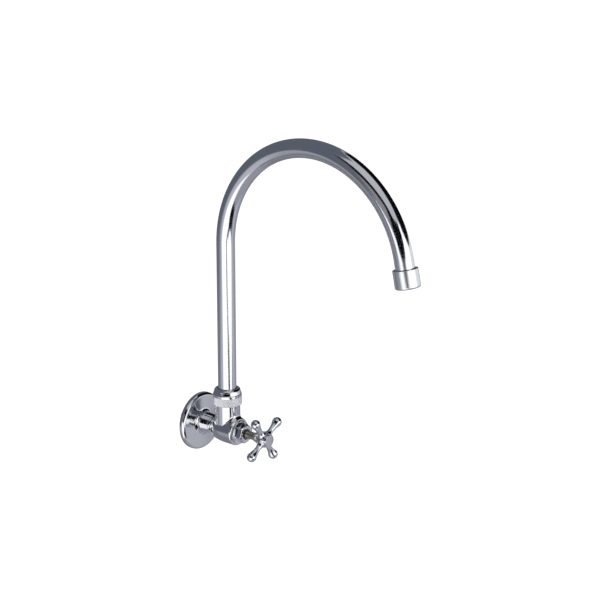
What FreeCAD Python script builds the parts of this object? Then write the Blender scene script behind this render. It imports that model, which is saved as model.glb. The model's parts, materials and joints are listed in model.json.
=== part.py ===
import FreeCAD, Part
import math
import os

# Commercial wall faucet: a gooseneck spout that swivels in a cast valve body, with a
# rising stem and a cross handle. Sizes are in millimetres. The origin is where the inlet
# axis meets the wall: +Z is up, the wall lies in the XZ plane and the tap stands out
# towards -Y. Sections are drawn as (radius, height), with the height along the axis that
# the piece turns about.

# Axes and overall sizes
WALL_TO_RISER = 40.0          # wall face to the riser's axis
RISER_TOP = 199.0             # height at which the arch begins
ARCH_R = 113.0                # radius of the arch's centre line
ARCH_DEG = 168.0              # sweep of the arch
OUTLET_RUN = 14.0             # straight tube after the arch

# Tube, threads and seals
TUBE_R = 9.5
TUBE_WALL = 1.0
INLET_R = 10.4775             # G1/2 male, crest radius
SHANK_R = 10.6                # plain part of the inlet, in front of the thread
NECK_R = 13.22                # G3/4 male, crest radius
THREAD_GAP = 0.05             # between a screw and its hole
RUNNING_GAP = 0.1             # round a piece that turns or slides
FACE_GAP = 0.05               # between end faces that turn on each other
EDGE = 0.4                    # small broken edges

# Wall flange
FLANGE_R = 30.5
FLANGE_RISE = 7.5
FLANGE_SHEET = 0.9
FLANGE_RIM = 2.2
FLANGE_LIP = 3.6

# Valve body, heights measured out from the wall
INLET_BACK = 18.0
INLET_THREAD_END = 1.0
UNDERCUT = 1.2                # thread run-out groove, long and deep
SHANK_END = 21.5
BARREL_R = 14.6
BARREL_FULL = 43.0
BOSS_FACE = 56.0
BOSS_ROUND = 2.0
WATERWAY_R = 7.0
SEAT_R = 5.0
SEAT_WALL = 26.0
SEAT_FLOOR = 27.5
SEAT_TOP = 29.2
CHAMBER_R = 9.5
CHAMBER_END = 46.5
BONNET_R = 10.5
PORT_R = 7.5
NECK_TOP = 37.5
SOCKET_R = 11.0
SOCKET_FLOOR = 16.0
BRANCH_BLEND = 5.0

# Headwork
GASKET = 0.9
BONNET_FLANGE_R = 12.4
BONNET_FLANGE = 1.5
HEX_FLATS = 18.0
HEX_TURN = 16.5               # turn of the hexagon's first corner from +X, in degrees
HEX_FACE = 66.0
BONNET_NOSE = 44.5
PACKING_R = 5.6
PACKING_FLOOR = 57.0
PACKING_WASHER = 0.8
PACKING_TOP = 59.8
GLAND_TOP = 62.0
GLAND_SLOT = 1.3

# Stem and washer, closed: the washer's face lies on the seat
STEM_R = 4.0
STEM_THREAD_R = 6.0
STEM_THREAD = (40.0, 49.4)
STEM_STOP = 55.5
STEM_SHOULDER = 84.0
STEM_TOP = 91.5
SQUARE = 5.6
SPIGOT_R = 2.5
SPIGOT_TOP = 42.5
JUMPER_R = 7.2
WASHER_R = 6.6
SCREW_R = 1.45
WASHER_FACE = SEAT_TOP + FACE_GAP
JUMPER_UNDER = WASHER_FACE + 3.1
JUMPER_TOP = JUMPER_UNDER + 2.1
STEM_FOOT = JUMPER_TOP + FACE_GAP

# Cross handle
HANDLE_PLANE = 90.0
ARM_REACH = 24.0              # axis to the centre of a ball
ARM_TURN = 34.0               # first arm's turn from +X, in degrees
ARMS = 4
BALL_R = 5.0
WAIST_R = 2.85
WAIST_AT = 12.2
HUB_R = 8.2
HUB_BACK = 78.5
HUB_FRONT = 96.0
ARM_BLEND = 1.5
HANDLE_SCREW_R = 1.65
BUTTON_R = 6.4
BUTTON_FACE = 97.5

# Spout nut
NUT_R = 14.85
NUT_FOOT = 27.6
KNURL_TOP = 36.5
KNURLS = 90
KNURL_DEPTH = 0.45
NUT_BAND_R = 14.3
NUT_BAND = (39.8, 42.6)
NUT_TOP = 45.0
NUT_MOUTH_R = 9.8
NUT_CHAMBER_R = 12.75
NUT_SHOULDER = 42.2

# Swivel ferrule
FERRULE_R = 10.93
FERRULE_FOOT = 16.5
COLLAR_R = 12.5
COLLAR = (38.45, 40.6)
TUBE_FOOT = 29.5
RING_AT = (20.5, 26.5)
RING_GROOVE_R = 9.3
RING_SECTION_R = 0.825

# Outlet, heights measured along the flow from the arch's end
AERATOR_TOP = 8.8
AERATOR_END = 27.3
AERATOR_R = 12.45
AERATOR_ROUND = 2.0
AERATOR_THREAD_R = 10.95
LEDGE = 22.0
LIP_R = 9.3
LIP = 26.4
NIPPLE_END = 19.0
NIPPLE_BORE_R = 8.4
GASKET_END = 20.6
GRID = 0.5
GRID_HOLE = 1.2
GRID_PITCH = 1.8


def valve_axis():
    """Local +Z runs straight out from the wall."""
    return FreeCAD.Placement(FreeCAD.Vector(0, 0, 0), FreeCAD.Rotation(FreeCAD.Vector(1, 0, 0), 90))


def riser_axis():
    return FreeCAD.Placement(FreeCAD.Vector(0, -WALL_TO_RISER, 0), FreeCAD.Rotation())


def outlet_axis():
    """Local +Z leaves the end of the arch along the flow."""
    sweep = math.radians(ARCH_DEG)
    end = FreeCAD.Vector(0, -WALL_TO_RISER - ARCH_R * (1 - math.cos(sweep)), RISER_TOP + ARCH_R * math.sin(sweep))
    flow = FreeCAD.Vector(0, -math.sin(sweep), math.cos(sweep))
    return FreeCAD.Placement(end, FreeCAD.Rotation(FreeCAD.Vector(0, 0, 1), flow))


def section(outline):
    """Closed face. A step is a point, reached by a line, or (through, end), reached by an arc."""
    def at(point):
        return FreeCAD.Vector(point[0], 0, point[1])
    edges = []
    here = outline[0]
    for step in outline[1:] + [outline[0]]:
        if isinstance(step[0], tuple):
            through, end = step
            edges.append(Part.Arc(at(here), at(through), at(end)).toShape())
        else:
            end = step
            edges.append(Part.LineSegment(at(here), at(end)).toShape())
        here = end
    return Part.Face(Part.Wire(edges))


def turned(outline, place):
    solid = section(outline).revolve(FreeCAD.Vector(0, 0, 0), FreeCAD.Vector(0, 0, 1), 360)
    solid.Placement = place
    return solid


def rod(radius, low, high, place):
    return turned([(0, low), (radius, low), (radius, high), (0, high)], place)


def ring(inner, outer, low, high, place):
    return turned([(inner, low), (outer, low), (outer, high), (inner, high)], place)


def prism(corners, low, high, place):
    """Straight prism on a closed ring of (x, y) corners."""
    points = [FreeCAD.Vector(x, y, low) for x, y in corners]
    solid = Part.Face(Part.makePolygon(points + points[:1])).extrude(FreeCAD.Vector(0, 0, high - low))
    solid.Placement = place
    return solid


def polygon(radius, count, turn):
    angles = [math.radians(turn + 360.0 * k / count) for k in range(count)]
    return [(radius * math.cos(a), radius * math.sin(a)) for a in angles]


def turned_copies(shape, count, centre, axis):
    copies = []
    for k in range(count):
        copy = shape.copy()
        copy.rotate(centre, axis, 360.0 * k / count)
        copies.append(copy)
    return copies


def rounded_corner(radius, height, blend):
    """Arc step round the far outer corner of a section, from its side to its end face."""
    short = blend * (1 - math.sqrt(0.5))
    return ((radius - short, height - short), (radius - blend, height))


def dome(radius, height, rise):
    """Arc step from (radius, height) to a top on the axis, part of a ball centred on the axis."""
    ball = (radius ** 2 + rise ** 2) / (2 * rise)
    middle = radius / 2
    return ((middle, height + rise - ball + math.sqrt(ball ** 2 - middle ** 2)), (0, height + rise))


def wall_flange():
    """Pressed sheet: rolled rim, slightly domed face and a centre hole with a turned-in lip."""
    sheet = FLANGE_SHEET
    lip_r = SHANK_R + 0.02
    face_r = FLANGE_R - 3.6
    curl_r = lip_r + 2.6
    rim_mid = (FLANGE_R - 0.95, FLANGE_RISE - 2.55)
    face_edge = (face_r, FLANGE_RISE - 1.5)
    curl_mid = (lip_r + 0.75, FLANGE_RISE - 0.65)
    outside = [(FLANGE_R, 0), (FLANGE_R, FLANGE_RIM), (rim_mid, face_edge)]
    outside += [(curl_r, FLANGE_RISE), (curl_mid, (lip_r, FLANGE_RISE - 2.3)), (lip_r, FLANGE_LIP)]
    inside = [(lip_r + sheet, FLANGE_LIP), (lip_r + sheet, FLANGE_RISE - 2.4)]
    inside += [(curl_mid[0] + 0.6 * sheet, curl_mid[1] - 0.8 * sheet), (curl_r + 0.1, FLANGE_RISE - sheet)]
    inside += [(face_r - 0.2, FLANGE_RISE - 1.5 - sheet)]
    inside += [(rim_mid[0] - 0.75 * sheet, rim_mid[1] - 0.65 * sheet), (FLANGE_R - sheet, FLANGE_RIM)]
    inside += [(FLANGE_R - sheet, 0)]
    return turned(outside + inside, valve_axis())


def valve_body():
    """Casting: inlet shank, barrel that swells into the boss, and the neck that rises from it."""
    place = valve_axis()
    lead = INLET_R - 0.9
    groove = INLET_THREAD_END + UNDERCUT
    flare_mid = (SHANK_R + 0.3, SHANK_END + 2.4)
    flare_end = (SHANK_R + 1.2, SHANK_END + 4.8)
    knee_mid = (BARREL_R - 1.9, SHANK_END + 6.9)
    knee_end = (BARREL_R - 1.3, SHANK_END + 9.0)
    swell_mid = (BARREL_R - 0.33, SHANK_END + 15.25)
    barrel = [(0, -INLET_BACK), (lead, -INLET_BACK), (INLET_R, -INLET_BACK + 0.9), (INLET_R, INLET_THREAD_END)]
    barrel += [(INLET_R - UNDERCUT, INLET_THREAD_END), (INLET_R - UNDERCUT, groove), (SHANK_R, groove)]
    barrel += [(SHANK_R, SHANK_END)]
    barrel += [(flare_mid, flare_end), (knee_mid, knee_end), (swell_mid, (BARREL_R, BARREL_FULL))]
    barrel += [(BARREL_R, BOSS_FACE - BOSS_ROUND)]
    barrel += [rounded_corner(BARREL_R, BOSS_FACE, BOSS_ROUND), (0, BOSS_FACE)]
    neck = [(0, 0), (NECK_R, 0), (NECK_R, NECK_TOP - EDGE), (NECK_R - EDGE, NECK_TOP), (0, NECK_TOP)]
    body = turned(barrel, place).fuse(turned(neck, riser_axis())).removeSplitter()
    body = body.makeFillet(BRANCH_BLEND, branch_edges(body))
    crown = (WATERWAY_R + SEAT_R) / 2
    chamber = [(0, SEAT_WALL - 1), (SEAT_R, SEAT_WALL - 1), (SEAT_R, SEAT_TOP - EDGE)]
    chamber += [((crown - EDGE, SEAT_TOP), (crown + EDGE, SEAT_TOP - EDGE)), (WATERWAY_R, SEAT_FLOOR)]
    chamber += [(CHAMBER_R, SEAT_FLOOR), (CHAMBER_R, CHAMBER_END), (BONNET_R, CHAMBER_END), (BONNET_R, BOSS_FACE + 1)]
    chamber += [(0, BOSS_FACE + 1)]
    inlet = rod(WATERWAY_R, -INLET_BACK - 1, SEAT_WALL, place)
    port = rod(PORT_R, 0, SOCKET_FLOOR + 1, riser_axis())
    socket = rod(SOCKET_R, SOCKET_FLOOR, NECK_TOP + 1, riser_axis())
    return body.cut(Part.makeCompound([turned(chamber, place)])).cut(inlet).cut(port).cut(socket)


def branch_edges(body):
    """Edges of the saddle where the neck meets the barrel."""
    found = []
    for edge in body.Edges:
        low, high = edge.BoundBox.ZMin, edge.BoundBox.ZMax
        on_neck = edge.BoundBox.YMin > -WALL_TO_RISER - NECK_R - 1 and edge.BoundBox.YMax < -WALL_TO_RISER + NECK_R + 1
        if on_neck and high > 1 and high < BARREL_R + 1 and high - low > EDGE and not isinstance(edge.Curve, Part.Circle):
            found.append(edge)
    return found


def bonnet_gasket():
    return ring(BONNET_R + THREAD_GAP, BONNET_FLANGE_R, BOSS_FACE, BOSS_FACE + GASKET, valve_axis())


def bonnet():
    """Headwork: screwed nose, round flange and a chamfered hexagon with the packing chamber in it."""
    place = valve_axis()
    seat = BOSS_FACE + GASKET
    hexagon = seat + BONNET_FLANGE
    screw_r = BONNET_R - THREAD_GAP
    nose_r = CHAMBER_R - 0.6
    lathe = [(0, BONNET_NOSE), (nose_r, BONNET_NOSE), (nose_r, CHAMBER_END + EDGE), (screw_r, CHAMBER_END + 2 * EDGE)]
    lathe += [(screw_r, seat), (BONNET_FLANGE_R, seat), (BONNET_FLANGE_R, hexagon - EDGE)]
    lathe += [(BONNET_FLANGE_R - EDGE, hexagon), (0, hexagon)]
    corner_r = HEX_FLATS / math.sqrt(3)
    nut = prism(polygon(corner_r, 6, HEX_TURN), hexagon, HEX_FACE, place)
    rake = math.tan(math.radians(30))
    face_r = HEX_FLATS / 2 - 0.5
    turned_down = [(0, hexagon), (corner_r + 1, hexagon), (corner_r + 1, HEX_FACE - (corner_r + 1 - face_r) * rake)]
    turned_down += [(face_r, HEX_FACE), (0, HEX_FACE)]
    solid = turned(lathe, place).fuse(nut.common(turned(turned_down, place)))
    mouth_r = PACKING_R + EDGE
    bore = [(0, BONNET_NOSE - 1), (STEM_THREAD_R + RUNNING_GAP, BONNET_NOSE - 1)]
    bore += [(STEM_THREAD_R + RUNNING_GAP, STEM_STOP), (STEM_R + RUNNING_GAP, STEM_STOP)]
    bore += [(STEM_R + RUNNING_GAP, PACKING_FLOOR), (PACKING_R, PACKING_FLOOR), (PACKING_R, HEX_FACE - EDGE)]
    bore += [(mouth_r, HEX_FACE), (mouth_r, HEX_FACE + 1), (0, HEX_FACE + 1)]
    return solid.cut(turned(bore, place))


def packing_washer():
    inner = STEM_R + RUNNING_GAP
    return ring(inner, PACKING_R - THREAD_GAP, PACKING_FLOOR, PACKING_FLOOR + PACKING_WASHER, valve_axis())


def stem_packing():
    inner = STEM_R + FACE_GAP
    return ring(inner, PACKING_R - THREAD_GAP, PACKING_FLOOR + PACKING_WASHER, PACKING_TOP, valve_axis())


def gland_bush():
    """Ring screw with a driver slot across its face."""
    place = valve_axis()
    bush = ring(STEM_R + RUNNING_GAP, PACKING_R - THREAD_GAP, PACKING_TOP, GLAND_TOP, place)
    half = GLAND_SLOT / 2
    corners = [(-PACKING_R, -half), (PACKING_R, -half), (PACKING_R, half), (-PACKING_R, half)]
    return bush.cut(prism(corners, GLAND_TOP - GLAND_SLOT, GLAND_TOP + 1, place))


def stem():
    """Rising spindle: bored foot, coarse thread, plain shank and a square for the handle."""
    place = valve_axis()
    thread_foot, thread_top = STEM_THREAD
    foot_r = STEM_THREAD_R - 1
    lathe = [(0, STEM_FOOT), (foot_r, STEM_FOOT), (foot_r, thread_foot), (STEM_THREAD_R, thread_foot + 1)]
    lathe += [(STEM_THREAD_R, thread_top), (STEM_R, thread_top), (STEM_R, STEM_SHOULDER), (0, STEM_SHOULDER)]
    half = SQUARE / 2
    square = prism([(-half, -half), (half, -half), (half, half), (-half, half)], STEM_SHOULDER, STEM_TOP, place)
    square = square.common(rod(STEM_R - EDGE / 2, STEM_SHOULDER, STEM_TOP, place))
    spindle = turned(lathe, place).fuse(square)
    foot_bore = rod(SPIGOT_R + RUNNING_GAP, STEM_FOOT - 1, SPIGOT_TOP + 0.5, place)
    tapped = rod(HANDLE_SCREW_R, STEM_SHOULDER, STEM_TOP + 1, place)
    return spindle.cut(foot_bore).cut(tapped)


def jumper():
    """Washer plate with a rim round the washer and a spigot that turns in the stem's foot."""
    place = valve_axis()
    rim = (JUMPER_UNDER + WASHER_FACE) / 2
    lathe = [(0, JUMPER_UNDER), (WASHER_R + THREAD_GAP, JUMPER_UNDER), (WASHER_R + THREAD_GAP, rim), (JUMPER_R, rim)]
    lathe += [(JUMPER_R, JUMPER_TOP - EDGE), (JUMPER_R - EDGE, JUMPER_TOP), (SPIGOT_R, JUMPER_TOP)]
    lathe += [(SPIGOT_R, SPIGOT_TOP - EDGE), (SPIGOT_R - EDGE, SPIGOT_TOP), (0, SPIGOT_TOP)]
    return turned(lathe, place).cut(rod(SCREW_R, JUMPER_UNDER - 1, JUMPER_UNDER + 4, place))


def seat_washer():
    hole_r = SCREW_R + RUNNING_GAP
    lathe = [(hole_r, WASHER_FACE), (WASHER_R - EDGE, WASHER_FACE), (WASHER_R, WASHER_FACE + EDGE)]
    return turned(lathe + [(WASHER_R, JUMPER_UNDER), (hole_r, JUMPER_UNDER)], valve_axis())


def washer_screw():
    """Pan head below the washer, small enough to stand in the seat."""
    head_r = 2 * SCREW_R
    foot = WASHER_FACE - 1.3
    tip = JUMPER_UNDER + 3
    screw_r = SCREW_R - THREAD_GAP
    lathe = [(0, foot), (head_r - EDGE, foot), (head_r, foot + EDGE), (head_r, WASHER_FACE)]
    return turned(lathe + [(screw_r, WASHER_FACE), (screw_r, tip), (0, tip)], valve_axis())


def handle_arm():
    """Arm turned about local +Z: it leaves the hub in a trumpet, narrows, and swells into a ball."""
    root = 6.0
    trumpet = 9.35
    def flare(height):
        return WAIST_R + trumpet - math.sqrt(trumpet ** 2 - (WAIST_AT - height) ** 2)
    mid = (root + WAIST_AT) / 2
    swell = ARM_REACH - 1.6
    swell_r = math.sqrt(BALL_R ** 2 - (ARM_REACH - swell) ** 2)
    pear = (WAIST_R + 0.5, (WAIST_AT + swell) / 2)
    side = math.sqrt(0.5) * BALL_R
    outline = [(0, 0), (flare(root), 0), (flare(root), root), ((flare(mid), mid), (WAIST_R, WAIST_AT))]
    outline += [(pear, (swell_r, swell)), ((side, ARM_REACH + side), (0, ARM_REACH + BALL_R))]
    return turned(outline, FreeCAD.Placement())


def cross_handle():
    """Bell-shaped hub with four ball-ended arms blended into it."""
    place = valve_axis()
    skirt_r = STEM_R + 0.9
    bell_mid = (skirt_r + 1.1, HUB_BACK + 4.0)
    crown_mid = (HUB_R, HANDLE_PLANE - 1.0)
    front_r = BUTTON_R + 0.7
    lathe = [(0, HUB_BACK), (skirt_r, HUB_BACK), (bell_mid, (HUB_R - 0.8, HANDLE_PLANE - 4.6))]
    lathe += [(crown_mid, (front_r + 0.3, HUB_FRONT - 1.6)), (front_r, HUB_FRONT), (0, HUB_FRONT)]
    hub = turned(lathe, place)
    arm = handle_arm()
    arm.Placement = FreeCAD.Placement(FreeCAD.Vector(0, -HANDLE_PLANE, 0), FreeCAD.Rotation(FreeCAD.Vector(0, 1, 0), 90))
    arm.rotate(FreeCAD.Vector(0, 0, 0), FreeCAD.Vector(0, 1, 0), -ARM_TURN)
    handle = hub.multiFuse(turned_copies(arm, ARMS, FreeCAD.Vector(0, 0, 0), FreeCAD.Vector(0, 1, 0)))
    handle = handle.removeSplitter()
    handle = handle.makeFillet(ARM_BLEND, arm_edges(handle))
    half = SQUARE / 2 + FACE_GAP
    square = prism([(-half, -half), (half, -half), (half, half), (-half, half)], STEM_SHOULDER, STEM_TOP + EDGE, place)
    socket = rod(STEM_R + 2 * RUNNING_GAP, HUB_BACK - 1, STEM_SHOULDER, place)
    web = STEM_TOP + 1.7
    screw_hole = rod(HANDLE_SCREW_R + 3 * RUNNING_GAP, STEM_TOP, web + 1, place)
    pocket = rod(BUTTON_R - 1.2, web, HUB_FRONT + 1, place)
    return handle.cut(square).cut(socket).cut(screw_hole).cut(pocket)


def arm_edges(handle):
    """Edges where an arm leaves the hub: the only ones that are free curves."""
    return [edge for edge in handle.Edges if not edge.Degenerated and isinstance(edge.Curve, Part.BSplineCurve)]


def handle_screw():
    place = valve_axis()
    under = STEM_TOP + 1.7
    head = 2.2
    head_r = 2.2 * HANDLE_SCREW_R
    screw_r = HANDLE_SCREW_R - THREAD_GAP
    lathe = [(0, STEM_SHOULDER + 1), (screw_r, STEM_SHOULDER + 1), (screw_r, under), (head_r, under)]
    lathe += [(head_r, under + head / 2), dome(head_r, under + head / 2, head / 2)]
    slot = prism([(-head_r, -EDGE), (head_r, -EDGE), (head_r, EDGE), (-head_r, EDGE)], under + head / 2, under + head + 1, place)
    return turned(lathe, place).cut(slot)


def index_button():
    """Disc with a gently domed face and a ring that snaps into the hub."""
    ring_r = BUTTON_R - 1.2 - THREAD_GAP
    wall = 0.8
    rise = 0.25
    foot = HUB_FRONT - 0.9
    lathe = [(0, HUB_FRONT), (ring_r - wall, HUB_FRONT), (ring_r - wall, foot), (ring_r, foot), (ring_r, HUB_FRONT)]
    lathe += [(BUTTON_R, HUB_FRONT), (BUTTON_R, BUTTON_FACE - EDGE - rise), (BUTTON_R - EDGE, BUTTON_FACE - rise)]
    lathe += [dome(BUTTON_R - EDGE, BUTTON_FACE - rise, rise)]
    return turned(lathe, valve_axis())


def knurled_band():
    """Straight knurl: a star of fine teeth, with its ends turned down."""
    corners = []
    for k in range(KNURLS):
        for radius, step in ((NUT_R, k), (NUT_R - KNURL_DEPTH, k + 0.5)):
            turn = 2 * math.pi * step / KNURLS
            corners.append((radius * math.cos(turn), radius * math.sin(turn)))
    star = prism(corners, NUT_FOOT, KNURL_TOP, riser_axis())
    root = NUT_R - KNURL_DEPTH
    blank = [(0, NUT_FOOT), (root - EDGE, NUT_FOOT), (NUT_R, NUT_FOOT + KNURL_DEPTH + EDGE)]
    blank += [(NUT_R, KNURL_TOP), (0, KNURL_TOP)]
    return star.common(turned(blank, riser_axis()))


def spout_nut():
    """Knurled collar: knurl, plain land, smooth band and a domed shoulder that closes on the tube."""
    place = riser_axis()
    band_low, band_high = NUT_BAND
    dome_end = NUT_MOUTH_R + EDGE
    dome_mid = (NUT_BAND_R - 1.1, NUT_TOP - 0.75)
    blank = [(0, KNURL_TOP), (NUT_R, KNURL_TOP), (NUT_R, band_low - 0.6), (NUT_BAND_R, band_low), (NUT_BAND_R, band_high)]
    blank += [(dome_mid, (dome_end, NUT_TOP)), (0, NUT_TOP)]
    screw_r = NECK_R + THREAD_GAP
    step = NECK_TOP + EDGE
    bore = [(0, NUT_FOOT - 1), (screw_r, NUT_FOOT - 1), (screw_r, step), (NUT_CHAMBER_R, step)]
    bore += [(NUT_CHAMBER_R, NUT_SHOULDER), (NUT_MOUTH_R, NUT_SHOULDER), (NUT_MOUTH_R, NUT_TOP + 1), (0, NUT_TOP + 1)]
    return knurled_band().fuse(turned(blank, place)).removeSplitter().cut(turned(bore, place))


def lower_bush():
    return ring(SOCKET_R + THREAD_GAP, COLLAR_R + RUNNING_GAP, NECK_TOP, COLLAR[0] - FACE_GAP, riser_axis())


def upper_bush():
    return ring(TUBE_R + RUNNING_GAP, COLLAR_R + RUNNING_GAP, COLLAR[1] + FACE_GAP, NUT_SHOULDER, riser_axis())


def spout_ferrule():
    """Swivel end: barrel with two ring grooves, collar, and the socket that the tube is soldered in."""
    place = riser_axis()
    bore_r = RING_GROOVE_R - 2.1
    low, high = COLLAR
    lathe = [(bore_r, FERRULE_FOOT), (FERRULE_R - EDGE, FERRULE_FOOT), (FERRULE_R, FERRULE_FOOT + EDGE), (FERRULE_R, low)]
    lathe += [(COLLAR_R, low), (COLLAR_R, high), (TUBE_R, high), (TUBE_R, TUBE_FOOT), (bore_r, TUBE_FOOT)]
    ferrule = turned(lathe, place)
    half = RING_SECTION_R * 1.4
    for height in RING_AT:
        ferrule = ferrule.cut(ring(RING_GROOVE_R, FERRULE_R + 1, height - half, height + half, place))
    return ferrule


def spout_o_rings():
    """Two seal rings, their round section drawn with eight sides."""
    sides = 8
    half_side = 180.0 / sides
    corners = polygon(RING_SECTION_R / math.cos(math.radians(half_side)), sides, half_side)
    middle = RING_GROOVE_R + RING_SECTION_R
    rings = [turned([(middle + x, height + y) for x, y in corners], riser_axis()) for height in RING_AT]
    return Part.makeCompound(rings)


def spout_tube():
    """Riser, arch and outlet run of one tube."""
    bore_r = TUBE_R - TUBE_WALL
    riser = ring(bore_r, TUBE_R, TUBE_FOOT, RISER_TOP, riser_axis())
    start = FreeCAD.Vector(0, -WALL_TO_RISER, RISER_TOP)
    pivot = FreeCAD.Vector(0, -WALL_TO_RISER - ARCH_R, RISER_TOP)
    up = FreeCAD.Vector(0, 0, 1)
    outer = Part.Wire(Part.Circle(start, up, TUBE_R).toShape())
    inner = Part.Wire(Part.Circle(start, up, bore_r).toShape())
    inner.reverse()
    arch = Part.Face([outer, inner]).revolve(pivot, FreeCAD.Vector(1, 0, 0), ARCH_DEG)
    run = ring(bore_r, TUBE_R, 0, OUTLET_RUN, outlet_axis())
    return riser.fuse(arch).fuse(run).removeSplitter()


def outlet_nipple():
    """Screwed end soldered round the tube, closed down to a narrower bore below it."""
    place = outlet_axis()
    outer = AERATOR_THREAD_R - RUNNING_GAP
    top = AERATOR_TOP + 0.3
    lathe = [(TUBE_R, top), (outer, top), (outer, NIPPLE_END), (NIPPLE_BORE_R, NIPPLE_END)]
    return turned(lathe + [(NIPPLE_BORE_R, OUTLET_RUN), (TUBE_R, OUTLET_RUN)], place)


def aerator_housing():
    """Screwed collar with a flat top, a rounded lower edge and a lip that holds the cartridge."""
    outside = [(AERATOR_THREAD_R, AERATOR_TOP), (AERATOR_R - EDGE, AERATOR_TOP), (AERATOR_R, AERATOR_TOP + EDGE)]
    outside += [(AERATOR_R, AERATOR_END - AERATOR_ROUND), rounded_corner(AERATOR_R, AERATOR_END, AERATOR_ROUND)]
    cartridge_r = AERATOR_THREAD_R - 0.75
    inside = [(LIP_R, AERATOR_END), (LIP_R, LIP), (cartridge_r, LIP), (cartridge_r, LEDGE), (AERATOR_THREAD_R, LEDGE)]
    return turned(outside + inside, outlet_axis())


def aerator_gasket():
    return ring(NIPPLE_BORE_R, AERATOR_THREAD_R - RUNNING_GAP, NIPPLE_END, GASKET_END, outlet_axis())


def aerator_cartridge():
    """Flow straightener: flanged ring, a core and a spoke every thirty degrees."""
    place = outlet_axis()
    body_r = AERATOR_THREAD_R - 0.85
    bore_r = body_r - 0.9
    core_r = 3.0
    foot = LIP - 2 * GRID
    shell = [(bore_r, GASKET_END), (AERATOR_THREAD_R - RUNNING_GAP, GASKET_END), (AERATOR_THREAD_R - RUNNING_GAP, LEDGE)]
    shell += [(body_r, LEDGE), (body_r, foot), (bore_r, foot)]
    head = GASKET_END + 2 * GRID
    spokes = 12
    thin = 0.35
    spoke = prism([(core_r - 1, -thin), (bore_r + EDGE, -thin), (bore_r + EDGE, thin), (core_r - 1, thin)], head, foot, FreeCAD.Placement())
    pieces = turned_copies(spoke, spokes, FreeCAD.Vector(0, 0, 0), FreeCAD.Vector(0, 0, 1))
    for piece in pieces:
        piece.Placement = place.multiply(piece.Placement)
    return turned(shell, place).multiFuse(pieces + [rod(core_r, head, foot, place)])


def aerator_screen():
    """Inlet mesh disc, let into the cartridge's head."""
    return rod(AERATOR_THREAD_R - 1.8, GASKET_END + GRID / 2, GASKET_END + 1.5 * GRID, outlet_axis())


def aerator_grid():
    """Outlet grille of square holes behind the lip."""
    place = outlet_axis()
    outer = AERATOR_THREAD_R - 0.85
    disc = rod(outer, LIP - GRID - FACE_GAP, LIP - FACE_GAP, place)
    half = GRID_HOLE / 2
    span = int(LIP_R / GRID_PITCH)
    holes = []
    for i in range(-span, span + 1):
        for j in range(-span, span + 1):
            x = i * GRID_PITCH
            y = j * GRID_PITCH
            if math.hypot(x, y) + GRID_HOLE < LIP_R:
                corners = [(x - half, y - half), (x + half, y - half), (x + half, y + half), (x - half, y + half)]
                holes.append(prism(corners, LIP - 2 * GRID, LIP + GRID, place))
    return disc.cut(Part.makeCompound(holes))


PIECES = {
    "wall_flange": wall_flange,
    "valve_body": valve_body,
    "bonnet_gasket": bonnet_gasket,
    "bonnet": bonnet,
    "packing_washer": packing_washer,
    "stem_packing": stem_packing,
    "gland_bush": gland_bush,
    "stem": stem,
    "jumper": jumper,
    "seat_washer": seat_washer,
    "washer_screw": washer_screw,
    "cross_handle": cross_handle,
    "handle_screw": handle_screw,
    "index_button": index_button,
    "spout_nut": spout_nut,
    "lower_bush": lower_bush,
    "upper_bush": upper_bush,
    "spout_ferrule": spout_ferrule,
    "spout_o_rings": spout_o_rings,
    "spout_tube": spout_tube,
    "outlet_nipple": outlet_nipple,
    "aerator_housing": aerator_housing,
    "aerator_gasket": aerator_gasket,
    "aerator_cartridge": aerator_cartridge,
    "aerator_screen": aerator_screen,
    "aerator_grid": aerator_grid,
}

os.makedirs("parts", exist_ok=True)
for name, make in PIECES.items():
    shape = make()
    shape.exportStep("parts/" + name + ".step")
    print(name, "solids", len(shape.Solids), "valid", shape.isValid(), "volume", round(shape.Volume, 1))
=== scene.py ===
"""Looks of a wall-mounted gooseneck tap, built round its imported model.

Pieces that turn about an axis are drawn as outlines of (radius, height, rounding), with the
height along that axis. Sizes are in metres, and MM turns the millimetres written here into them.
"""

import json
import math

import bmesh
import bpy
from bpy.props import FloatProperty, FloatVectorProperty, IntProperty, PointerProperty
from mathutils import Matrix, Vector


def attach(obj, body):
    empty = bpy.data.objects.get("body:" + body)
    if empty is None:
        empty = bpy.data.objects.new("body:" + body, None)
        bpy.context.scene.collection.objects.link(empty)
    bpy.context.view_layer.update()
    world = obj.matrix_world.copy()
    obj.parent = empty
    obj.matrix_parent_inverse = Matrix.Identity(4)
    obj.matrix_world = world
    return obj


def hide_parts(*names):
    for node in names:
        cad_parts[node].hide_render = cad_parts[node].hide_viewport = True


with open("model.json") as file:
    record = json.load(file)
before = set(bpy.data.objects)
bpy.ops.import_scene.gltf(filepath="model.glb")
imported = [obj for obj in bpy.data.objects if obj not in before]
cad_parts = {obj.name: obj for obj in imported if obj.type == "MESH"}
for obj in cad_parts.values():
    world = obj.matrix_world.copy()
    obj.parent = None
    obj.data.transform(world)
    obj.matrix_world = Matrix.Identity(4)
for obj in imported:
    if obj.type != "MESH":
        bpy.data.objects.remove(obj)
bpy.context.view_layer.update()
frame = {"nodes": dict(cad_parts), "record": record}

bl_info = {
    "name": "Gooseneck wall tap",
    "version": (1, 0, 0),
    "blender": (4, 5, 0),
    "location": "3D View > Sidebar > Wall tap",
    "description": "Dresses the packed wall tap: plated brass, knurl, threads, inner pieces and studio",
    "category": "Add Mesh",
}

MM = 0.001
TURN = 2 * math.pi
SHARP = math.radians(35)
SHARP_ON_HEXAGON = math.radians(32)
SLOT_OF = {part["node"]: part["material_slot"] for part in frame["record"]["subparts"]}


# ---------------------------------------------------------------- properties

def size(name, description, millimetres):
    return FloatProperty(name=name, description=description, default=millimetres * MM, min=0.0,
                         unit="LENGTH", subtype="DISTANCE", precision=5)


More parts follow.
